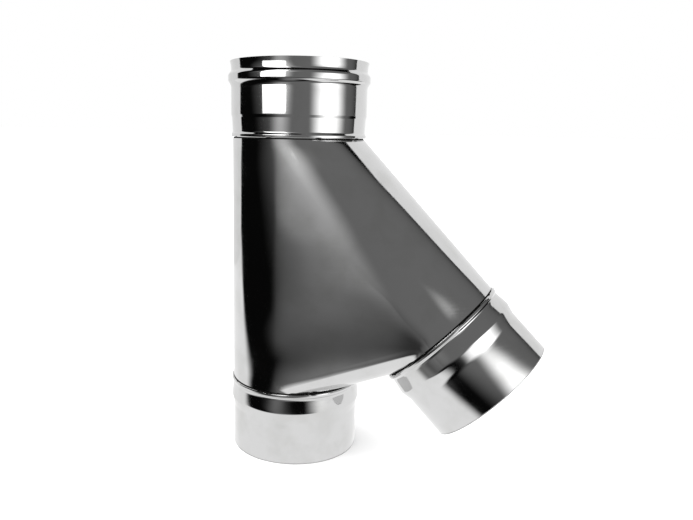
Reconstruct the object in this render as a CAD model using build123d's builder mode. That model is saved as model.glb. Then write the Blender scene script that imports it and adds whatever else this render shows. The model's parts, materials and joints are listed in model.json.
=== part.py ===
from build123d import *
from math import acos, atan2, copysign, cos, degrees, hypot, radians, sin, tan
import os

# Angled flue tee: a rolled sheet-steel body joins a top socket, a lower spigot and a
# 45 degree branch spigot. The main axis is Z, with the lower rim at z = 0 and the branch on +X.

# Sheet and the folded seams that lock each collar to the body
sheet = 1.0
body_radius = 57.5
flange_lip = 0.4
seam_clearance = 0.05
fold_gap = 0.35

# Heights along the main axis and the place of the branch rim's centre
spigot_length = 63.0
body_height = 219.5
socket_length = 61.5
branch_angle = 45.0
branch_reach = 133.0
branch_rise = 55.3

# Top socket: the bore takes the spigot of the next flue part
bore_radius = 57.75
slip_clearance = 0.75
socket_step_start = 8.0
socket_step_length = 8.0
bead_below_rim = 14.3
bead_half_width = 6.2
bead_depth = 2.5

# Spigot: a flare up to the stop shoulder, then the plain male end
shoulder_station = 16.0
shoulder_depth = 1.8
shoulder_fall = 7.5

# Matching rulings on each half of the slanted sides
ruling_count = 20

socket_radius = bore_radius + sheet
spigot_radius = bore_radius - slip_clearance
flange_radius = body_radius + flange_lip
hem_inner_radius = flange_radius + seam_clearance
hem_radius = hem_inner_radius + sheet
hem_inner_half = sheet / 2 + seam_clearance
hem_half = hem_inner_half + sheet
low_seam_z = spigot_length
top_seam_z = low_seam_z + body_height
branch_seam_z = low_seam_z + branch_rise
bead_centre = socket_length - bead_below_rim
tilt = radians(branch_angle)

# Straight collar behind each hem, and how much deeper it runs inside so that the wall at the
# crotch is one sheet thick
collar_land = hem_half + fold_gap
crotch_land = sheet * tan(radians(45 - branch_angle / 4))

# Each seat is the middle plane of a seam, with its normal pointing away from the body
top_seat = Plane(origin=(0, 0, top_seam_z), x_dir=(1, 0, 0), z_dir=(0, 0, 1))
low_seat = Plane(origin=(0, 0, low_seam_z), x_dir=(1, 0, 0), z_dir=(0, 0, -1))
branch_seat = Plane(
    origin=(branch_reach, 0, branch_seam_z),
    x_dir=(cos(tilt), 0, sin(tilt)),
    z_dir=(sin(tilt), 0, -cos(tilt)),
)


def matched_angles(radius, run_a, run_b):
    """Angles on two rims, from edge to edge, whose tangents meet on the line shared by the rim planes.

    run_a and run_b are the distances from each rim's centre to that line.
    """
    first = []
    second = []
    for step in range(ruling_count + 1):
        angle = radians(-90 + 180 * step / ruling_count)
        match = 0.0
        if sin(angle) != 0:
            reach = (radius - run_a * cos(angle)) / abs(sin(angle))
            match = copysign(atan2(reach, run_b) + acos(radius / hypot(run_b, reach)), angle)
        first.append(degrees(angle))
        second.append(degrees(match))
    return first, second


def half_rim(plane, radius, angles):
    """Half disc on a rim plane, with its arc split at the given angles about the plane's x axis."""
    with BuildSketch(plane) as rim:
        with BuildLine():
            for start, end in zip(angles, angles[1:]):
                CenterArc((0, 0), radius, start, end - start)
            Line((0, radius), (0, -radius))
        make_face()
    return rim.sketch.face()


def ruled_half(radius, plane_a, run_a, plane_b, run_b):
    """Solid between two half discs, skinned with straight rulings as bent sheet is."""
    angles_a, angles_b = matched_angles(radius, run_a, run_b)
    ends = [half_rim(plane_a, radius, angles_a), half_rim(plane_b, radius, angles_b)]
    corners = [plane.from_local_coords((0, side * radius)) for plane in (plane_a, plane_b) for side in (-1, 1)]
    flat = Face(Wire.make_polygon([corners[0], corners[1], corners[3], corners[2]]))
    skin = []
    for start_a, end_a, start_b, end_b in zip(angles_a, angles_a[1:], angles_b, angles_b[1:]):
        arc_a = Edge.make_circle(radius, plane_a, start_a, end_a)
        arc_b = Edge.make_circle(radius, plane_b, start_b, end_b)
        skin.append(Face.make_surface_from_curves(arc_a, arc_b))
    return Solid(Shell(ends + [flat] + skin))


def transition(radius, inset):
    """Solid that wraps the three rims of one radius, each moved into the body by the inset."""
    low_z = low_seam_z + inset
    top_z = top_seam_z - inset
    branch_x = branch_reach - inset * sin(tilt)
    branch_z = branch_seam_z + inset * cos(tilt)
    low = Plane(origin=(0, 0, low_z), x_dir=(1, 0, 0), z_dir=(0, 0, 1))
    top = Plane(origin=(0, 0, top_z), x_dir=(1, 0, 0), z_dir=(0, 0, 1))
    branch_up = Plane(
        origin=(branch_x, 0, branch_z),
        x_dir=(cos(tilt), 0, sin(tilt)),
        z_dir=(-sin(tilt), 0, cos(tilt)),
    )
    branch_down = Plane(
        origin=(branch_x, 0, branch_z),
        x_dir=(-cos(tilt), 0, -sin(tilt)),
        z_dir=(sin(tilt), 0, -cos(tilt)),
    )
    over = top_z - branch_z
    under = branch_z - low_z
    slanted_side = ruled_half(radius, top, branch_x + over / tan(tilt), branch_up, over / sin(tilt))
    crotch_side = ruled_half(radius, low, branch_x - under / tan(tilt), branch_down, under / sin(tilt))
    with BuildPart() as form:
        with BuildSketch(low):
            Circle(radius)
            with Locations((radius, 0)):
                Rectangle(2 * radius, 2 * radius, mode=Mode.SUBTRACT)
        extrude(amount=top_z - low_z)
        with BuildSketch(Plane.XZ):
            Polygon((0, low_z), (branch_x, branch_z), (0, top_z), align=None)
        extrude(amount=radius, both=True)
        add(slanted_side)
        add(crotch_side)
    return form.part


def hem_line():
    """Outer line of the hem that folds round a body flange, as radius and distance from the seat."""
    return Polyline(
        (body_radius + seam_clearance, -hem_half),
        (hem_radius, -hem_half),
        (hem_radius, hem_half),
        (body_radius, hem_half),
    )


def spigot_ring(seat):
    """Pressed collar on a seat: hem, flare, stop shoulder and plain male end."""
    with BuildPart() as ring:
        with BuildSketch(Plane(origin=seat.origin, x_dir=seat.x_dir, z_dir=seat.x_dir.cross(seat.z_dir))):
            with BuildLine():
                hem = hem_line()
                Polyline(
                    hem @ 1,
                    (spigot_radius + shoulder_depth, shoulder_station),
                    (spigot_radius, shoulder_station + shoulder_fall),
                    (spigot_radius, spigot_length),
                )
                offset(amount=sheet, side=Side.LEFT, kind=Kind.INTERSECTION, closed=True)
            make_face()
        revolve(axis=Axis(seat.origin, seat.z_dir))
    return ring


with BuildPart() as top_socket:
    with BuildSketch(Plane(origin=top_seat.origin, x_dir=(1, 0, 0), z_dir=(0, -1, 0))):
        with BuildLine():
            hem = hem_line()
            wall = Polyline(
                hem @ 1,
                (body_radius, socket_step_start),
                (socket_radius, socket_step_start + socket_step_length),
                (socket_radius, bead_centre - bead_half_width),
            )
            bead = ThreePointArc(
                wall @ 1,
                (socket_radius + bead_depth, bead_centre),
                (socket_radius, bead_centre + bead_half_width),
            )
            Line(bead @ 1, (socket_radius, socket_length))
            offset(amount=sheet, side=Side.LEFT, kind=Kind.INTERSECTION, closed=True)
        make_face()
    revolve(axis=Axis.Z)

lower_spigot = spigot_ring(low_seat)
branch_spigot = spigot_ring(branch_seat)

outer_form = transition(body_radius, collar_land)
inner_form = transition(body_radius - sheet, collar_land + crotch_land)

with BuildPart() as body_shell:
    add(outer_form)
    for seat in (top_seat, low_seat, branch_seat):
        with BuildSketch(seat.offset(-collar_land)):
            Circle(body_radius)
        extrude(amount=collar_land + sheet / 2)
        with BuildSketch(seat.offset(-sheet / 2)):
            Circle(flange_radius)
        extrude(amount=sheet)
    add(inner_form, mode=Mode.SUBTRACT)
    for seat in (top_seat, low_seat, branch_seat):
        with BuildSketch(seat.offset(-collar_land - crotch_land)):
            Circle(body_radius - sheet)
        extrude(amount=collar_land + crotch_land + sheet, mode=Mode.SUBTRACT)

os.makedirs("parts", exist_ok=True)
top_socket.part.label = "top_socket"
body_shell.part.label = "body_shell"
lower_spigot.part.label = "lower_spigot"
branch_spigot.part.label = "branch_spigot"
export_step(top_socket.part, "parts/top_socket.step")
export_step(body_shell.part, "parts/body_shell.step")
export_step(lower_spigot.part, "parts/lower_spigot.step")
export_step(branch_spigot.part, "parts/branch_spigot.step")
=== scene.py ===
"""Angled flue tee in polished stainless sheet: four folded pieces and a small studio stage."""

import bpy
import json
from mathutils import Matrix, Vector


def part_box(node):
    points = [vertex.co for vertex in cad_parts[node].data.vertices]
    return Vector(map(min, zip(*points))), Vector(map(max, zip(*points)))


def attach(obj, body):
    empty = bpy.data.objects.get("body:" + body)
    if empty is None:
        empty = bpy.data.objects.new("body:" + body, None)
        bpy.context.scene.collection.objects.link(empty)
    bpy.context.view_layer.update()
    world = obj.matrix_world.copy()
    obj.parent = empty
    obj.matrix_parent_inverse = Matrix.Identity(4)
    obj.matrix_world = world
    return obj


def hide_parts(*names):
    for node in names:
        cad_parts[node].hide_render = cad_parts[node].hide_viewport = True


bl_info = {
    "name": "Angled flue tee",
    "version": (1, 0, 0),
    "blender": (4, 5, 0),
    "location": "View3D > Sidebar > Flue tee",
    "description": "Models the socket, wrapped body and spigots of a sheet-steel flue tee, with its stage",
    "category": "Object",
}

import json
from math import acos, atan2, ceil, copysign, cos, hypot, pi, radians, sin, tan
from typing import NamedTuple

import bpy
from bpy.props import FloatProperty, FloatVectorProperty, IntProperty, PointerProperty
from mathutils import Matrix, Vector

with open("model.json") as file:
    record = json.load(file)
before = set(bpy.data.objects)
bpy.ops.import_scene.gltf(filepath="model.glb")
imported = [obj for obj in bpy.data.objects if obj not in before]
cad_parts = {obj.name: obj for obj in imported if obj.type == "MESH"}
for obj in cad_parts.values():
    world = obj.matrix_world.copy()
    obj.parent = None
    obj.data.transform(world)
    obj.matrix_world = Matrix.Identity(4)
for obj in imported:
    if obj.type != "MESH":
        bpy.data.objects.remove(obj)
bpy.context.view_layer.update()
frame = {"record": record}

MM = 0.001
NEAR = 0.01 * MM
SMOOTH_BELOW = radians(35)
ROUND_ABOVE = radians(50)
WHITE = (1.0, 1.0, 1.0, 1.0)
MOUNTS = {mount["name"]: mount for mount in frame["record"]["mounts"]}
BODY_LOW, BODY_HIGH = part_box("body_shell")
SPIGOT_LOW, SPIGOT_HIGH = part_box("lower_spigot")
SOCKET_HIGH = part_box("top_socket")[1]


class FlueTeeSizes(bpy.types.PropertyGroup):
    """Sizes of the sheet and of the forms pressed into it."""

    sheet: FloatProperty(
        name="Sheet", description="Thickness of the steel sheet", default=1.0 * MM, unit="LENGTH"
    )
    flange_lip: FloatProperty(
        name="Flange lip", description="How far the body's flange stands out", default=0.4 * MM, unit="LENGTH"
    )
    seam_clearance: FloatProperty(
        name="Seam clearance", description="Room between hem and body", default=0.05 * MM, unit="LENGTH"
    )
    edge_rounding: FloatProperty(
        name="Edge rounding", description="Rounding of cut edges", default=0.42 * MM, unit="LENGTH"
    )
    hem_rounding: FloatProperty(
        name="Hem rounding", description="Outer radius of the rolled hems", default=1.05 * MM, unit="LENGTH"
    )
    hem_shoulder: FloatProperty(
        name="Hem shoulder", description="Seat to where the hem slopes in", default=1.0 * MM, unit="LENGTH"
    )
    hem_neck: FloatProperty(
        name="Hem neck", description="Seat to where the hem's slope meets the collar",
        default=2.65 * MM, unit="LENGTH",
    )
    hem_fillet: FloatProperty(
        name="Hem fillet", description="Radius between a hem and its collar", default=1.7 * MM, unit="LENGTH"
    )
    crease_width: FloatProperty(
        name="Crease width", description="Width of the crease behind a hem", default=1.05 * MM, unit="LENGTH"
    )
    crease_depth: FloatProperty(
        name="Crease depth", description="How far the body draws in behind a hem",
        default=1.6 * MM, unit="LENGTH",
    )
    crimp_count: IntProperty(name="Crimps", description="Crimp marks round each hem", default=9)
    crimp_start: FloatProperty(
        name="Crimp start", description="Direction of the first crimp mark",
        default=radians(-94), subtype="ANGLE",
    )
    crimp_width: FloatProperty(
        name="Crimp width", description="Angle that a crimp mark takes up",
        default=radians(4), subtype="ANGLE",
    )
    crimp_depth: FloatProperty(
        name="Crimp depth", description="How far a crimp pushes the hem in", default=0.5 * MM, unit="LENGTH"
    )
    taper_start: FloatProperty(
        name="Taper start", description="Seat to the start of the taper", default=3.6 * MM, unit="LENGTH"
    )
    taper_depth: FloatProperty(
        name="Taper depth", description="How far the taper widens the neck", default=0.62 * MM, unit="LENGTH"
    )
    step_foot: FloatProperty(
        name="Step foot", description="Seat to the foot of the socket's step",
        default=14.6 * MM, unit="LENGTH",
    )
    step_head: FloatProperty(
        name="Step head", description="Seat to the head of the socket's step",
        default=17.0 * MM, unit="LENGTH",
    )
    step_rounding: FloatProperty(
        name="Step rounding", description="Rounding of the socket's step", default=2.0 * MM, unit="LENGTH"
    )
    bead_below_rim: FloatProperty(
        name="Bead below rim", description="Rim to the bead's upper foot", default=8.6 * MM, unit="LENGTH"
    )
    bead_rise: FloatProperty(
        name="Bead rise", description="Length of the bead's upper slope", default=2.8 * MM, unit="LENGTH"
    )
    bead_crest: FloatProperty(
        name="Bead crest", description="Length of the bead's crest", default=5.2 * MM, unit="LENGTH"
    )
    bead_fall: FloatProperty(
        name="Bead fall", description="Length of the bead's lower slope", default=3.2 * MM, unit="LENGTH"
    )
    bead_rounding: FloatProperty(
        name="Bead rounding", description="Rounding of the bead's crest", default=3.0 * MM, unit="LENGTH"
    )
    bead_foot_over: FloatProperty(
        name="Bead foot above", description="Rounding at the bead's upper foot",
        default=2.5 * MM, unit="LENGTH",
    )
    bead_foot_under: FloatProperty(
        name="Bead foot below", description="Rounding at the bead's lower foot",
        default=8.0 * MM, unit="LENGTH",
    )
    rim_margin: FloatProperty(
        name="Rim margin", description="Keeps the opened rim inside the part's height",
        default=0.05 * MM, unit="LENGTH",
    )
    # Height of the band of painted shade at each cut rim
    rim_shade_height: FloatProperty(
        name="Edge wear", description="Height of the dulled band at a cut edge",
        default=0.75 * MM, unit="LENGTH",
    )
    mouth_flare: FloatProperty(
        name="Mouth flare", description="How far the socket's mouth opens", default=1.0 * MM, unit="LENGTH"
    )
    mouth_flare_length: FloatProperty(
        name="Mouth length", description="Length of the opened mouth", default=4.4 * MM, unit="LENGTH"
    )
    mouth_rounding: FloatProperty(
        name="Mouth rounding", description="Rounding where the mouth opens", default=16.0 * MM, unit="LENGTH"
    )
    neck_length: FloatProperty(
        name="Neck", description="Seat to the start of the flare", default=4.4 * MM, unit="LENGTH"
    )
    shoulder_station: FloatProperty(
        name="Shoulder", description="Seat to the stop shoulder", default=16.2 * MM, unit="LENGTH"
    )
    shoulder_depth: FloatProperty(
        name="Shoulder depth", description="Shoulder above the male end", default=2.2 * MM, unit="LENGTH"
    )
    shoulder_fall: FloatProperty(
        name="Shoulder fall", description="Shoulder to the male end", default=9.0 * MM, unit="LENGTH"
    )
    shoulder_radius: FloatProperty(
        name="Shoulder rounding", description="Rounding of neck and shoulder", default=6.0 * MM, unit="LENGTH"
    )
    foot_radius: FloatProperty(
        name="Foot rounding", description="Rounding below the shoulder", default=14.0 * MM, unit="LENGTH"
    )
    ring_points: IntProperty(name="Ring points", description="Points round each ring", default=252)
    body_points: IntProperty(name="Body points", description="Points round each rim of the body", default=80)
    body_cuts: IntProperty(
        name="Body cuts", description="Cuts across the body's straight rulings", default=39
    )
    easing_start: FloatProperty(
        name="Easing start", description="Share of the body's half width where the flat sides start to ease",
        default=0.7, subtype="FACTOR",
    )
    easing_reach: FloatProperty(
        name="Easing reach", description="Share of the half width over which the easing grows to full",
        default=0.25, subtype="FACTOR",
    )
    body_relaxing: IntProperty(
        name="Body relaxing", description="Smoothing passes that ease the flat sides into the round ones",
        default=48,
    )


def linear_colour(hex_value):
    """Linear colour of an sRGB hex value, as a shader takes it."""
    channels = [int(hex_value[start : start + 2], 16) / 255 for start in (1, 3, 5)]
    return tuple(part / 12.92 if part <= 0.04045 else ((part + 0.055) / 1.055) ** 2.4 for part in channels)


class FlueTeeFinish(bpy.types.PropertyGroup):
    """Colour and surface of the steel."""

    steel_colour: FloatVectorProperty(
        name="Steel", description="Colour of the clean sheet", subtype="COLOR", size=3,
        default=linear_colour("#d0d0d0"), min=0.0, max=1.0,
    )
    dull_colour: FloatVectorProperty(
        name="Dull steel", description="Colour where handling has dulled the sheet", subtype="COLOR", size=3,
        default=linear_colour("#c7c7c6"), min=0.0, max=1.0,
    )
    polish: FloatProperty(
        name="Polish", description="Roughness of the clean sheet", default=0.05, subtype="FACTOR"
    )
    dulling: FloatProperty(
        name="Dulling", description="Roughness that handling adds", default=0.06, subtype="FACTOR"
    )
    # Dark colour of the painted shade in the creases and at the cut rims, with some oil and dust in the
    # creases
    painted_shade_and_grime_colour: FloatVectorProperty(
        name="Grime", description="Oil and dust in the creases", subtype="COLOR", size=3,
        default=linear_colour("#141312"), min=0.0, max=1.0,
    )
    # Roughness where the painted shade lies
    painted_shade_and_grime_roughness: FloatProperty(
        name="Grime roughness", description="Roughness of the grime", default=0.55, subtype="FACTOR"
    )
    # Strength of the painted shade at the cut rims, standing in for contact shadow and dark reflections
    cut_rim_shade_strength: FloatProperty(
        name="Cut dullness", description="How dark the sheared edges are beside the grime", default=0.6,
        subtype="FACTOR",
    )
    waver_size: FloatProperty(
        name="Waver size", description="Width of the gentle waves in the sheet",
        default=62 * MM, unit="LENGTH",
    )
    waver_depth: FloatProperty(
        name="Waver depth", description="Height of the gentle waves", default=0.8 * MM, unit="LENGTH"
    )
    smudge_size: FloatProperty(
        name="Smudge size", description="Width of the dulled patches", default=24 * MM, unit="LENGTH"
    )
    grain_size: FloatProperty(
        name="Grain size", description="Width of the rolling lines", default=1.3 * MM, unit="LENGTH"
    )
    grain_stretch: FloatProperty(
        name="Grain stretch", description="Width of the rolling lines as a share of their length",
        default=0.03, subtype="FACTOR",
    )
    grain_depth: FloatProperty(
        name="Grain depth", description="Height of the rolling lines", default=0.004 * MM, unit="LENGTH"
    )


class FlueTeeStage(bpy.types.PropertyGroup):
    """Camera, floor and room of the stage."""

    camera_place: FloatVectorProperty(
        name="Camera place", description="Where the camera stands", subtype="TRANSLATION", unit="LENGTH",
        default=(208.2 * MM, -562.2 * MM, 286.9 * MM),
    )
    camera_turn: FloatProperty(
        name="Camera turn", description="Turn of the view from +Y towards -X",
        default=radians(19.07), subtype="ANGLE",
    )
    camera_dip: FloatProperty(
        name="Camera dip", description="How far the view looks down", default=radians(11.32), subtype="ANGLE"
    )
    camera_roll: FloatProperty(
        name="Camera roll", description="Roll about the line of sight", default=radians(1.05), subtype="ANGLE"
    )
    lens: FloatProperty(
        name="Lens", description="Focal length on a 36 mm wide sensor, in millimetres", default=34.85
    )
    shift: FloatVectorProperty(
        name="Shift", description="Lens shift that frames the tee", size=2, default=(0.0507, 0.0076)
    )
    floor_colour: FloatVectorProperty(
        name="Floor", description="Colour of the matt floor", subtype="COLOR", size=3,
        default=linear_colour("#f3f3f3"), min=0.0, max=1.0,
    )
    floor_light: FloatProperty(
        name="Floor light", description="Strength of the lamp over the floor", default=6.6
    )
    floor_softness: FloatProperty(
        name="Floor softness", description="Angle that the lamp takes up in the sky",
        default=radians(150), subtype="ANGLE",
    )
    room_glow: FloatProperty(
        name="Room", description="Light that the dark room gives the steel", default=0.003
    )


def hem_sizes(sizes):
    """Radius and half height of a hem, and the radius of the body, as the solids have them."""
    hem_radius = SPIGOT_HIGH.x
    hem_half = SPIGOT_HIGH.z - low_seam(sizes)
    body_radius = -BODY_LOW.x - sizes.flange_lip
    return hem_radius, hem_half, body_radius


def low_seam(sizes):
    """Height of the middle of the lower seam."""
    return BODY_LOW.z + sizes.sheet / 2


def top_seam(sizes):
    """Height of the middle of the top seam."""
    return BODY_HIGH.z - sizes.sheet / 2


def branch_seam(sizes):
    """Centre of the branch seam and the direction in which the branch leaves the body."""
    mount = MOUNTS["branch_spigot"]
    way = Vector(mount["axis"]).normalized()
    return Vector(mount["pos_m"]) - way * low_seam(sizes), way


def rounded_line(corners, arc_step=radians(6), straight_step=2.5 * MM):
    """Points of a line through corners of (radius, station, rounding), with arcs at the rounded ones."""
    points = [Vector(corners[0][:2])]
    for before, corner, after in zip(corners, corners[1:], corners[2:]):
        here = Vector(corner[:2])
        rounding = corner[2]
        into = (here - Vector(before[:2])).normalized()
        out = (Vector(after[:2]) - here).normalized()
        turn = atan2(into.x * out.y - into.y * out.x, into.dot(out))
        start = here - into * rounding * tan(abs(turn) / 2)
        if (start - points[-1]).dot(into) < 0:
            raise ValueError(f"No room for a rounding of {rounding / MM:.2f} mm")
        centre = start + Vector((-into.y, into.x)) * copysign(rounding, turn)
        steps = ceil(abs(turn) / arc_step) if rounding else 0
        for step in range(steps + 1):
            swing = Matrix.Rotation(turn * step / max(steps, 1), 2)
            points.append(centre + swing @ (start - centre))
    points.append(Vector(corners[-1][:2]))
    line = points[:1]
    for end in points[1:]:
        start = line[-1]
        parts = max(1, ceil((end - start).length / straight_step))
        line.extend(start.lerp(end, part / parts) for part in range(1, parts + 1))
    return line


def deselect():
    bpy.ops.object.select_all(action="DESELECT")


def face_outwards(piece):
    """Turns an open skin's faces outwards, judged by the face furthest back."""
    bpy.ops.mesh.select_all(action="SELECT")
    bpy.ops.mesh.normals_make_consistent(inside=False)
    bpy.ops.object.mode_set(mode="OBJECT")
    furthest = min(piece.data.polygons, key=lambda face: face.center.x)
    if furthest.normal.x > 0:
        bpy.ops.object.mode_set(mode="EDIT")
        bpy.ops.mesh.flip_normals()
        bpy.ops.object.mode_set(mode="OBJECT")


def spin_ring(name, line, seat_z, outward, points_round):
    """Draws the line of radius and station on the XZ plane and spins it round the main axis."""
    deselect()
    first = Vector((line[0].x, 0, seat_z + outward * line[0].y))
    bpy.ops.mesh.primitive_plane_add(size=1 * MM, location=first)
    ring = bpy.context.object
    ring.name = name
    ring.data.name = name
    bpy.ops.object.transform_apply(location=True, rotation=True, scale=True)
    bpy.ops.object.mode_set(mode="EDIT")
    bpy.ops.mesh.merge(type="CENTER")
    for start, end in zip(line, line[1:]):
        move = end - start
        bpy.ops.mesh.extrude_region_move(TRANSFORM_OT_translate={"value": (move.x, 0, outward * move.y)})
    bpy.ops.mesh.select_all(action="SELECT")
    bpy.ops.mesh.spin(steps=points_round, angle=2 * pi, center=(0, 0, 0), axis=(0, 0, 1))
    bpy.ops.mesh.select_all(action="SELECT")
    bpy.ops.mesh.remove_doubles(threshold=NEAR)
    face_outwards(ring)
    return ring


def add_wall(piece, sheet):
    """Gives a skin its sheet thickness, inwards from the outer face."""
    wall = piece.modifiers.new("wall", "SOLIDIFY")
    wall.thickness = sheet
    wall.offset = -1
    wall.use_even_offset = True
    bpy.ops.object.modifier_apply(modifier=wall.name)


def round_edges(piece, width):
    """Rounds folded and cut edges, and smooths the rest."""
    rounding = piece.modifiers.new("rounding", "BEVEL")
    rounding.width = width
    rounding.segments = 3
    rounding.limit_method = "ANGLE"
    rounding.angle_limit = ROUND_ABOVE
    bpy.ops.object.modifier_apply(modifier=rounding.name)
    bpy.ops.object.shade_smooth_by_angle(angle=SMOOTH_BELOW)
    shading = piece.modifiers.new("shading", "WEIGHTED_NORMAL")
    shading.keep_sharp = True
    bpy.ops.object.modifier_apply(modifier=shading.name)


def finish_piece(piece, node):
    """Lets a piece stand for its solid, with the steel on it."""
    piece.data.materials.append(polished_stainless())
    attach(piece, "root")
    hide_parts(node)


def mark_painted_shade_and_grime(piece, painted_shade_and_grime_at):
    """Notes on each face how much painted shade darkens it, in the creases and at the cut rims."""
    painted_shade_and_grime = piece.data.attributes.new("painted_shade_and_grime", "FLOAT", "FACE")
    for face in piece.data.polygons:
        painted_shade_and_grime.data[face.index].value = painted_shade_and_grime_at(face)


def mark_rim_shade(ring, rim_z, sizes):
    """Paints a dark band at a ring's cut rim: painted shade standing in for contact shadow and dark
    reflections at the rounded edge, with some dulling of the sheared edge.
    """
    rim_shade_strength = bpy.context.scene.flue_tee_finish.cut_rim_shade_strength
    mark_painted_shade_and_grime(ring, lambda face: rim_shade_strength if abs(face.center.z - rim_z) < sizes.rim_shade_height else 0)


def hem_corners(sizes):
    """Outer line of the hem that folds round a body flange, from its lip to the collar's wall."""
    hem_radius, hem_half, body_radius = hem_sizes(sizes)
    return [
        (body_radius + sizes.seam_clearance, -hem_half, 0),
        (hem_radius, -hem_half, sizes.hem_rounding),
        (hem_radius, sizes.hem_shoulder, sizes.hem_rounding),
        (body_radius, sizes.hem_neck, sizes.hem_fillet),
    ]


def crimp_hem(ring, seat_z, outward, sizes):
    """Squeezes crimp marks into the side of the hem that grips the body."""
    squeeze = 1 - sizes.crimp_depth / hem_sizes(sizes)[1]

    def in_mark(place, way):
        flat = Vector((place.x, place.y, 0))
        return outward * (place.z - seat_z) < 0 and flat.angle(way) < sizes.crimp_width / 2

    for mark in range(sizes.crimp_count):
        angle = sizes.crimp_start + 2 * pi * mark / sizes.crimp_count
        way = Vector((cos(angle), sin(angle), 0))
        bpy.ops.object.mode_set(mode="EDIT")
        bpy.ops.mesh.select_all(action="DESELECT")
        bpy.ops.object.mode_set(mode="OBJECT")
        for vertex in ring.data.vertices:
            vertex.select = in_mark(vertex.co, way)
        bpy.ops.object.mode_set(mode="EDIT")
        bpy.ops.transform.resize(value=(1, 1, squeeze), center_override=(0, 0, seat_z))
    bpy.ops.object.mode_set(mode="OBJECT")


class FLUETEE_OT_socket(bpy.types.Operator):
    """Spins the top socket with its hem, step, bead and mouth"""

    bl_idname = "fluetee.socket"
    bl_label = "Top socket"

    def execute(self, context):
        sizes = context.scene.flue_tee_sizes
        body_radius = hem_sizes(sizes)[2]
        wall = MOUNTS["top_socket"]["dims"]["r_mm"] * MM + sizes.sheet
        rim = SOCKET_HIGH.z - top_seam(sizes)
        crest = SOCKET_HIGH.x
        bead_top = rim - sizes.bead_below_rim
        crest_top = bead_top - sizes.bead_rise
        crest_low = crest_top - sizes.bead_crest
        mouth_lift = sizes.sheet * sizes.mouth_flare / hypot(sizes.mouth_flare, sizes.mouth_flare_length)
        corners = hem_corners(sizes) + [
            (body_radius, sizes.taper_start, sizes.shoulder_radius),
            (body_radius + sizes.taper_depth, sizes.step_foot, sizes.step_rounding),
            (wall, sizes.step_head, sizes.step_rounding),
            (wall, crest_low - sizes.bead_fall, sizes.bead_foot_under),
            (crest, crest_low, sizes.bead_rounding),
            (crest, crest_top, sizes.bead_rounding),
            (wall, bead_top, sizes.bead_foot_over),
            (wall, rim - sizes.mouth_flare_length, sizes.mouth_rounding),
            (wall + sizes.mouth_flare, rim - mouth_lift - sizes.rim_margin, 0),
        ]
        ring = spin_ring("socket_ring", rounded_line(corners), top_seam(sizes), 1, sizes.ring_points)
        crimp_hem(ring, top_seam(sizes), 1, sizes)
        add_wall(ring, sizes.sheet)
        round_edges(ring, sizes.edge_rounding)
        # Painted shade along the cut rim
        mark_rim_shade(ring, SOCKET_HIGH.z, sizes)
        finish_piece(ring, "top_socket")
        return {"FINISHED"}


class FLUETEE_OT_spigots(bpy.types.Operator):
    """Spins the lower spigot and copies it onto the branch seat"""

    bl_idname = "fluetee.spigots"
    bl_label = "Spigots"

    def execute(self, context):
        sizes = context.scene.flue_tee_sizes
        body_radius = hem_sizes(sizes)[2]
        male = MOUNTS["lower_spigot"]["dims"]["r_mm"] * MM
        seam_z = low_seam(sizes)
        corners = hem_corners(sizes) + [
            (body_radius, sizes.neck_length, sizes.shoulder_radius),
            (male + sizes.shoulder_depth, sizes.shoulder_station, sizes.shoulder_radius),
            (male, sizes.shoulder_station + sizes.shoulder_fall, sizes.foot_radius),
            # Point at the top of the painted rim shade, so that the band has faces of its own
            (male, seam_z - sizes.rim_shade_height, 0),
            (male, seam_z, 0),
        ]
        ring = spin_ring("spigot_ring", rounded_line(corners), seam_z, -1, sizes.ring_points)
        crimp_hem(ring, seam_z, -1, sizes)
        add_wall(ring, sizes.sheet)
        round_edges(ring, sizes.edge_rounding)
        # Painted shade along the cut rim
        mark_rim_shade(ring, SPIGOT_LOW.z, sizes)
        bpy.ops.object.duplicate()
        branch = context.object
        branch.name = "branch_ring"
        branch.data.name = "branch_ring"
        seat, way = branch_seam(sizes)
        turn = Vector((0, 0, -1)).rotation_difference(way).to_matrix().to_4x4()
        branch.matrix_world = Matrix.Translation(seat) @ turn @ Matrix.Translation((0, 0, -seam_z))
        bpy.ops.object.transform_apply(location=True, rotation=True, scale=True)
        finish_piece(ring, "lower_spigot")
        finish_piece(branch, "branch_spigot")
        return {"FINISHED"}


def matched_angle(angle, radius, run_a, run_b):
    """Angle on a second rim whose tangent meets the tangent at this angle where the rims' planes cross.

    run_a and run_b are the distances from each rim's centre to the line where the planes cross.
    """
    if abs(radius * sin(angle)) < NEAR:
        return angle
    reach = (radius - run_a * cos(angle)) / abs(sin(angle))
    return copysign(atan2(reach, run_b) + acos(radius / hypot(run_b, reach)), angle)


def select_edges(piece, wanted):
    """Selects the edges whose two ends are wanted together."""
    bpy.ops.mesh.select_all(action="DESELECT")
    bpy.ops.mesh.select_mode(type="EDGE")
    bpy.ops.object.mode_set(mode="OBJECT")
    for edge in piece.data.edges:
        edge.select = wanted(*(piece.data.vertices[end].co for end in edge.vertices))
    bpy.ops.object.mode_set(mode="EDIT")


def both(wanted):
    """Test of an edge that asks the same of its two ends."""
    return lambda start, end: wanted(start) and wanted(end)


class Rim(NamedTuple):
    """Round end of the wrapped sheet: where it is, the way it faces and its turn about Y."""

    centre: Vector
    axis: Vector
    turn: float
    radius: float

    def holds(self, place):
        """Whether a point lies on the rim's disc."""
        offset = place - self.centre
        return abs(offset.dot(self.axis)) < NEAR and offset.length < self.radius + NEAR

    def across(self):
        """Direction in the rim's plane that points away from the main axis or up."""
        return Vector((cos(self.turn), 0, -sin(self.turn)))


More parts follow.
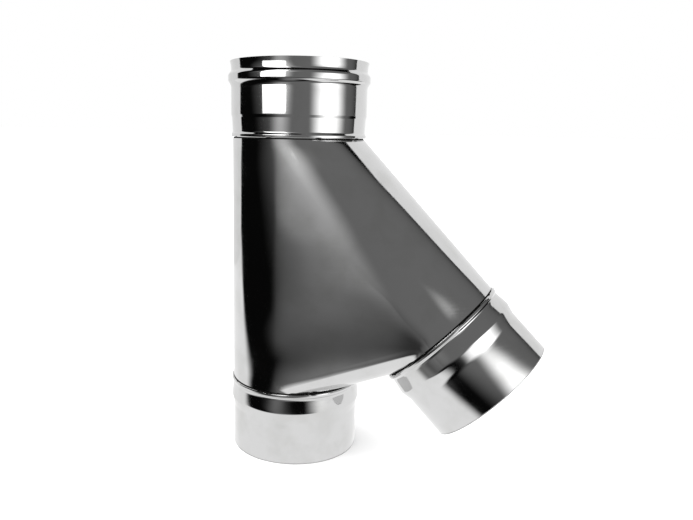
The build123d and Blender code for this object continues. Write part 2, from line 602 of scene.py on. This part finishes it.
def body_rims(sizes):
    """Lower, top and branch rim of the wrapped sheet, each set back behind its hem and crease."""
    _, hem_half, radius = hem_sizes(sizes)
    land = hem_half + sizes.crease_width
    seat, way = branch_seam(sizes)
    low = Rim(Vector((0, 0, low_seam(sizes) + land)), Vector((0, 0, -1)), 0, radius)
    top = Rim(Vector((0, 0, top_seam(sizes) - land)), Vector((0, 0, 1)), 0, radius)
    branch = Rim(seat - way * land, way, -atan2(way.x, -way.z), radius)
    return low, top, branch


def slide_branch_points(body, low, top, branch):
    """Moves the branch rim's points along it to where straight rulings from the other rims meet it."""
    tilt = -branch.turn
    across = branch.across()
    for vertex in body.data.vertices:
        if not branch.holds(vertex.co):
            continue
        offset = vertex.co - branch.centre
        side = copysign(1, offset.dot(across))
        drop = top.centre.z - branch.centre.z if side > 0 else branch.centre.z - low.centre.z
        run_a = branch.centre.x + side * drop / tan(tilt)
        run_b = drop / sin(tilt)
        angle = atan2(offset.y, abs(offset.dot(across)))
        angle = matched_angle(angle, branch.radius, run_a, run_b)
        spoke = side * cos(angle) * across + sin(angle) * Vector((0, 1, 0))
        vertex.co = branch.centre + branch.radius * spoke


def bridge_sides(body, low, top, branch):
    """Joins the rims by the round back, the slanted side and the crotch side, and fills the flat sides."""

    def outer_half(rim, side):
        return lambda place: rim.holds(place) and side * (place - rim.centre).dot(rim.across()) > -NEAR

    def either(first, second):
        return lambda place: first(place) or second(place)

    select_edges(body, both(either(outer_half(low, -1), outer_half(top, -1))))
    bpy.ops.mesh.bridge_edge_loops()
    select_edges(body, both(either(outer_half(top, 1), outer_half(branch, 1))))
    bpy.ops.mesh.bridge_edge_loops()
    select_edges(body, both(either(outer_half(low, 1), outer_half(branch, -1))))
    bpy.ops.mesh.bridge_edge_loops()
    for side in (-1, 1):
        select_edges(body, both(lambda place: abs(place.y - side * branch.radius) < NEAR))
        bpy.ops.mesh.edge_face_add()


def ease_flat_sides(body, rims, sizes):
    """Cuts the sheet across its rulings and eases the flat sides into the round ones."""

    def along_rim(start, end):
        return any(rim.holds(start) and rim.holds(end) for rim in rims)

    select_edges(body, lambda start, end: not along_rim(start, end))
    bpy.ops.mesh.subdivide(number_cuts=sizes.body_cuts)
    bpy.ops.object.mode_set(mode="OBJECT")
    eased = body.vertex_groups.new(name="eased")
    for vertex in body.data.vertices:
        share = (abs(vertex.co.y) / rims[0].radius - sizes.easing_start) / sizes.easing_reach
        if not any(rim.holds(vertex.co) for rim in rims):
            eased.add([vertex.index], min(max(share, 0), 1), "REPLACE")
    relaxing = body.modifiers.new("relaxing", "SMOOTH")
    relaxing.vertex_group = eased.name
    relaxing.iterations = sizes.body_relaxing
    relaxing.use_x = False
    relaxing.use_z = False
    bpy.ops.object.modifier_apply(modifier=relaxing.name)
    bpy.ops.object.vertex_group_remove(all=True)
    bpy.ops.object.mode_set(mode="EDIT")


def fold_rim(body, rim, sizes):
    """Draws the sheet in to a crease behind the hem, and turns out the flange that the hem folds round."""
    crease = sizes.crease_width
    flange = hem_sizes(sizes)[1] + crease - sizes.sheet / 2
    draw = 1 - sizes.crease_depth / rim.radius
    spread = -BODY_LOW.x / (rim.radius * draw)
    select_edges(body, both(rim.holds))
    bpy.ops.mesh.extrude_region_move(TRANSFORM_OT_translate={"value": rim.axis * crease})
    bpy.ops.transform.resize(value=(draw, draw, draw), center_override=rim.centre + rim.axis * crease)
    bpy.ops.mesh.extrude_region_move(TRANSFORM_OT_translate={"value": rim.axis * (flange - crease)})
    bpy.ops.mesh.extrude_region()
    bpy.ops.transform.resize(value=(spread, spread, spread), center_override=rim.centre + rim.axis * flange)


class FLUETEE_OT_body(bpy.types.Operator):
    """Wraps one sheet round the three rims, with a crease and flange at each"""

    bl_idname = "fluetee.body"
    bl_label = "Wrapped body"

    def execute(self, context):
        sizes = context.scene.flue_tee_sizes
        land = hem_sizes(sizes)[1] + sizes.crease_width
        rims = body_rims(sizes)
        deselect()
        bpy.ops.mesh.primitive_circle_add(
            vertices=sizes.body_points, radius=rims[0].radius, location=rims[0].centre
        )
        body = context.object
        body.name = "wrapped_body"
        body.data.name = "wrapped_body"
        bpy.ops.object.transform_apply(location=True, rotation=True, scale=True)
        bpy.ops.object.mode_set(mode="EDIT")
        for rim in rims[1:]:
            bpy.ops.mesh.primitive_circle_add(
                vertices=sizes.body_points, radius=rim.radius, location=rim.centre, rotation=(0, rim.turn, 0)
            )
        bpy.ops.object.mode_set(mode="OBJECT")
        slide_branch_points(body, *rims)
        bpy.ops.object.mode_set(mode="EDIT")
        bridge_sides(body, *rims)
        ease_flat_sides(body, rims, sizes)
        for rim in rims:
            fold_rim(body, rim, sizes)
        face_outwards(body)
        add_wall(body, sizes.sheet)
        bpy.ops.object.shade_smooth_by_angle(angle=SMOOTH_BELOW)

        # Painted shade in the creases, standing in for the shadow in the gap behind each hem, with some
        # rolling oil and dust
        def in_crease(face):
            for rim in rims:
                offset = face.center - rim.centre
                station = offset.dot(rim.axis)
                spoke = offset - station * rim.axis
                if 0 < station < land and spoke.length < rim.radius and face.normal.dot(spoke) > 0:
                    return 1
            return 0

        mark_painted_shade_and_grime(body, in_crease)
        finish_piece(body, "body_shell")
        return {"FINISHED"}


def add_node(tree, kind, links=(), **settings):
    """Adds a node, sets its sockets and options by name and links sources into its sockets."""
    node = tree.nodes.new(kind)
    for key, value in settings.items():
        label = key.replace("_", " ").title()
        if label in node.inputs:
            node.inputs[label].default_value = value
        else:
            setattr(node, key, value)
    for socket, source in links:
        tree.links.new(source, node.inputs[socket])
    return node


def polished_stainless():
    """Cold-rolled stainless sheet with a bright polish.

    The eye sees sharp reflections that waver with the sheet, faint lines along the way it was rolled,
    soft clouds where hands and tools have dulled it, and dark creases and rims. These are painted shade:
    in the creases it stands in for the shadow in the gap behind each hem, with some rolling oil and dust,
    and at the cut rims for contact shadow and dark reflections, with some dulling of the sheared edge.
    The real lines are a few hundredths of a millimetre wide, and are drawn coarser here so that they show.
    """
    known = bpy.data.materials.get("bright_rolled_stainless")
    if known:
        return known
    finish = bpy.context.scene.flue_tee_finish
    steel = bpy.data.materials.new("bright_rolled_stainless")
    steel.use_nodes = True
    tree = steel.node_tree
    tree.nodes.clear()
    place = add_node(tree, "ShaderNodeTexCoord").outputs["Object"]
    along = add_node(
        tree, "ShaderNodeMapping", links=[("Vector", place)],
        scale=(finish.grain_stretch, finish.grain_stretch, 1),
    )
    waver = add_node(
        tree, "ShaderNodeTexNoise", links=[("Vector", place)],
        scale=1 / finish.waver_size, detail=1.0,
    )
    smudge = add_node(
        tree, "ShaderNodeTexNoise", links=[("Vector", place)],
        scale=1 / finish.smudge_size, detail=3.0,
    )
    grain = add_node(
        tree, "ShaderNodeTexNoise", links=[("Vector", along.outputs[0])],
        scale=1 / finish.grain_size, detail=2.0,
    )

    # Noise lies mostly between 0.3 and 0.7, and the upper part of it is taken as dulled
    colour = add_node(tree, "ShaderNodeValToRGB", links=[(0, smudge.outputs[0])])
    clean, dull = colour.color_ramp.elements
    clean.position = 0.45
    clean.color = (*finish.steel_colour, 1)
    dull.position = 0.75
    dull.color = (*finish.dull_colour, 1)
    dulled = add_node(
        tree, "ShaderNodeMapRange", links=[("Value", smudge.outputs[0])],
        from_min=0.4, from_max=0.75, to_min=finish.polish, to_max=finish.polish + finish.dulling,
    )
    lines = add_node(
        tree, "ShaderNodeMapRange", links=[("Value", grain.outputs[0])],
        from_min=0.3, from_max=0.7, to_min=0.0, to_max=finish.dulling / 2,
    )
    polish = add_node(
        tree, "ShaderNodeMath", links=[(0, dulled.outputs[0]), (1, lines.outputs[0])], operation="ADD"
    )

    # Painted shade covers the metal in the creases and at the cut rims; 6 and 7 are the two colours of a
    # colour mix
    painted_shade_and_grime = add_node(tree, "ShaderNodeAttribute", attribute_name="painted_shade_and_grime").outputs["Fac"]
    shaded_colour = add_node(tree, "ShaderNodeMix", links=[(0, painted_shade_and_grime), (6, colour.outputs[0])], data_type="RGBA")
    shaded_colour.inputs[7].default_value = (*finish.painted_shade_and_grime_colour, 1)
    roughness = add_node(
        tree, "ShaderNodeMapRange", links=[("Value", painted_shade_and_grime), ("To Min", polish.outputs[0])],
        to_max=finish.painted_shade_and_grime_roughness,
    )
    bare = add_node(tree, "ShaderNodeMapRange", links=[("Value", painted_shade_and_grime)], to_min=1.0, to_max=0.0)
    waves = add_node(
        tree, "ShaderNodeBump", links=[("Height", waver.outputs[0])], distance=finish.waver_depth
    )
    rolled = add_node(
        tree, "ShaderNodeBump", links=[("Height", grain.outputs[0]), ("Normal", waves.outputs[0])],
        distance=finish.grain_depth,
    )
    shader = add_node(
        tree, "ShaderNodeBsdfPrincipled",
        links=[
            ("Base Color", shaded_colour.outputs[2]),
            ("Metallic", bare.outputs[0]),
            ("Roughness", roughness.outputs[0]),
            ("Normal", rolled.outputs[0]),
        ],
    )
    add_node(tree, "ShaderNodeOutputMaterial", links=[("Surface", shader.outputs["BSDF"])])
    return steel


def studio_world(scene, settings):
    """White to the camera, and a nearly dark room to the steel."""
    world = bpy.data.worlds.new("studio")
    scene.world = world
    world.use_nodes = True
    tree = world.node_tree
    tree.nodes.clear()
    path = add_node(tree, "ShaderNodeLightPath")
    room = add_node(tree, "ShaderNodeBackground", color=WHITE, strength=settings.room_glow)
    white = add_node(tree, "ShaderNodeBackground", color=WHITE, strength=1.0)
    mix = add_node(
        tree, "ShaderNodeMixShader",
        links=[(0, path.outputs["Is Camera Ray"]), (1, room.outputs[0]), (2, white.outputs[0])],
    )
    add_node(tree, "ShaderNodeOutputWorld", links=[("Surface", mix.outputs[0])])


def soft_glow(name, glow, soft, solid):
    """Light that is even in the middle of a card and fades over a share of its width and height.

    A solid card hides what is behind it, and the others add their light to it.
    """
    material = bpy.data.materials.new(name)
    material.use_nodes = True
    tree = material.node_tree
    tree.nodes.clear()
    place = add_node(tree, "ShaderNodeTexCoord")
    split = add_node(tree, "ShaderNodeSeparateXYZ", links=[(0, place.outputs["UV"])])
    fades = []
    for axis, share in zip("XY", soft):
        away = add_node(tree, "ShaderNodeMath", links=[(0, split.outputs[axis])], operation="SUBTRACT")
        away.inputs[1].default_value = 0.5
        size = add_node(tree, "ShaderNodeMath", links=[(0, away.outputs[0])], operation="ABSOLUTE")
        fade = add_node(
            tree, "ShaderNodeMapRange", links=[("Value", size.outputs[0])], interpolation_type="SMOOTHSTEP",
            from_min=0.5 - 0.5 * share, from_max=0.5, to_min=1.0, to_max=0.0,
        )
        fades.append(fade.outputs[0])
    share = add_node(tree, "ShaderNodeMath", links=enumerate(fades), operation="MULTIPLY")
    clear = add_node(tree, "ShaderNodeBsdfTransparent")
    lit = add_node(tree, "ShaderNodeEmission", color=WHITE, strength=glow)
    if not solid:
        lit = add_node(tree, "ShaderNodeAddShader", links=[(0, lit.outputs[0]), (1, clear.outputs[0])])
    mix = add_node(
        tree, "ShaderNodeMixShader",
        links=[(0, share.outputs[0]), (1, clear.outputs[0]), (2, lit.outputs[0])],
    )
    add_node(tree, "ShaderNodeOutputMaterial", links=[("Surface", mix.outputs[0])])
    return material


def add_glow(name, centre, size, glow, soft, facing=None, roll=0, solid=False):
    """Soft light that only the steel sees: level, or upright and facing a direction round the tee.

    Sizes are in millimetres and angles in degrees, with a facing of 0 at the front and 90 on the
    branch's side. The glow is 1 for white, and soft gives the faded shares of width and height.
    """
    deselect()
    bpy.ops.mesh.primitive_plane_add(size=1)
    card = bpy.context.object
    card.name = name
    stand = Matrix.Translation(Vector(centre) * MM)
    if facing is not None:
        stand @= Matrix.Rotation(radians(facing), 4, "Z") @ Matrix.Rotation(pi / 2, 4, "X")
    spread = Matrix.Diagonal((size[0] * MM, size[1] * MM, 1, 1))
    card.matrix_world = stand @ Matrix.Rotation(radians(roll), 4, "Z") @ spread
    card.data.materials.append(soft_glow(name, glow, soft, solid))
    card.visible_camera = False
    card.visible_shadow = False


def add_floor(settings):
    """Matt white floor under the tee with a wide lamp over it, both unseen by the steel.

    The floor reaches far enough to meet the white world at the horizon, and lies just under the rim.
    """
    deselect()
    bpy.ops.mesh.primitive_plane_add(size=120, location=(0, 0, -0.05 * MM))
    floor = bpy.context.object
    floor.name = "floor"
    material = bpy.data.materials.new("white_floor")
    material.use_nodes = True
    material.node_tree.nodes.clear()
    white = add_node(material.node_tree, "ShaderNodeBsdfDiffuse", color=(*settings.floor_colour, 1))
    add_node(material.node_tree, "ShaderNodeOutputMaterial", links=[("Surface", white.outputs[0])])
    floor.data.materials.append(material)
    floor.visible_glossy = False
    bpy.ops.object.light_add(type="SUN", location=(0, 0, 2))
    lamp = bpy.context.object
    lamp.name = "floor_lamp"
    lamp.data.angle = settings.floor_softness
    lamp.data.energy = settings.floor_light
    lamp.visible_glossy = False


def add_studio():
    """Softboxes, backdrop, table and dim room round the tee, as the steel shows them."""

    # White window on the left of the socket, and the broad soft highlight down the right
    add_glow("left_softbox", (-72, -233, 547), (160, 490), 2.6, (0.06, 0.02), facing=-20.8)
    add_glow("right_softbox", (664, -257, 190), (970, 600), 2.3, (1.0, 0.5), facing=70)

    # Pale edges of the round pieces, and the pale crotch and spigots above the table
    add_glow("backdrop_right", (384, 958, 690), (1354, 1400), 1.0, (0.03, 0.01), facing=163, solid=True)
    add_glow("backdrop_left", (-631, 581, 690), (1411, 1400), 0.93, (0.03, 0.01), facing=-128.6, solid=True)
    add_glow("table", (-310, 650, -1), (1730, 1600), 1.08, (0.03, 0.1), roll=-9, solid=True)

    # Grey grading over the dark front of the body and the collars
    add_glow("table_front", (6, -249, -3), (263, 323), 0.23, (0.89, 1.0))
    add_glow("dim_floor", (-71, -700, -4), (500, 800), 0.07, (0.8, 0.3))
    add_glow("low_glow", (-116, -387, 539), (553, 854), 0.256, (0.32, 0.97), facing=-18, roll=-41)
    add_glow("side_glow", (-57, -635, 407), (448, 1208), 0.445, (1.0, 0.91), facing=-10, roll=-13)
    add_glow("room", (234, -171, 941), (3400, 1800), 0.185, (1.0, 0.11), facing=48)


class FLUETEE_OT_stage(bpy.types.Operator):
    """Sets the floor, the light and the camera"""

    bl_idname = "fluetee.stage"
    bl_label = "Stage"

    def execute(self, context):
        scene = context.scene
        settings = scene.flue_tee_stage
        scene.view_settings.view_transform = "Standard"
        camera_data = bpy.data.cameras.new("photo_camera")
        camera = bpy.data.objects.new("photo_camera", camera_data)
        scene.collection.objects.link(camera)
        camera.matrix_world = (
            Matrix.Translation(settings.camera_place)
            @ Matrix.Rotation(settings.camera_turn, 4, "Z")
            @ Matrix.Rotation(pi / 2 - settings.camera_dip, 4, "X")
            @ Matrix.Rotation(settings.camera_roll, 4, "Z")
        )
        camera_data.sensor_width = 36
        camera_data.lens = settings.lens
        camera_data.shift_x = settings.shift[0]
        camera_data.shift_y = settings.shift[1]
        camera_data.clip_end = 100
        scene.camera = camera
        studio_world(scene, settings)
        add_floor(settings)
        add_studio()
        return {"FINISHED"}


class FLUETEE_PT_panel(bpy.types.Panel):
    """Lists the pieces of the flue tee"""

    bl_label = "Flue tee"
    bl_idname = "FLUETEE_PT_panel"
    bl_space_type = "VIEW_3D"
    bl_region_type = "UI"
    bl_category = "Flue tee"

    def draw(self, context):
        for operator in OPERATORS:
            self.layout.operator(operator.bl_idname)


OPERATORS = (FLUETEE_OT_socket, FLUETEE_OT_spigots, FLUETEE_OT_body, FLUETEE_OT_stage)
CLASSES = (FlueTeeSizes, FlueTeeFinish, FlueTeeStage, *OPERATORS, FLUETEE_PT_panel)


def register():
    for kind in CLASSES:
        bpy.utils.register_class(kind)
    bpy.types.Scene.flue_tee_sizes = PointerProperty(type=FlueTeeSizes)
    bpy.types.Scene.flue_tee_finish = PointerProperty(type=FlueTeeFinish)
    bpy.types.Scene.flue_tee_stage = PointerProperty(type=FlueTeeStage)


def unregister():
    del bpy.types.Scene.flue_tee_stage
    del bpy.types.Scene.flue_tee_finish
    del bpy.types.Scene.flue_tee_sizes
    for kind in reversed(CLASSES):
        bpy.utils.unregister_class(kind)


def main():
    register()
    bpy.ops.fluetee.socket()
    bpy.ops.fluetee.spigots()
    bpy.ops.fluetee.body()
    bpy.ops.fluetee.stage()


if __name__ == "__main__":
    main()
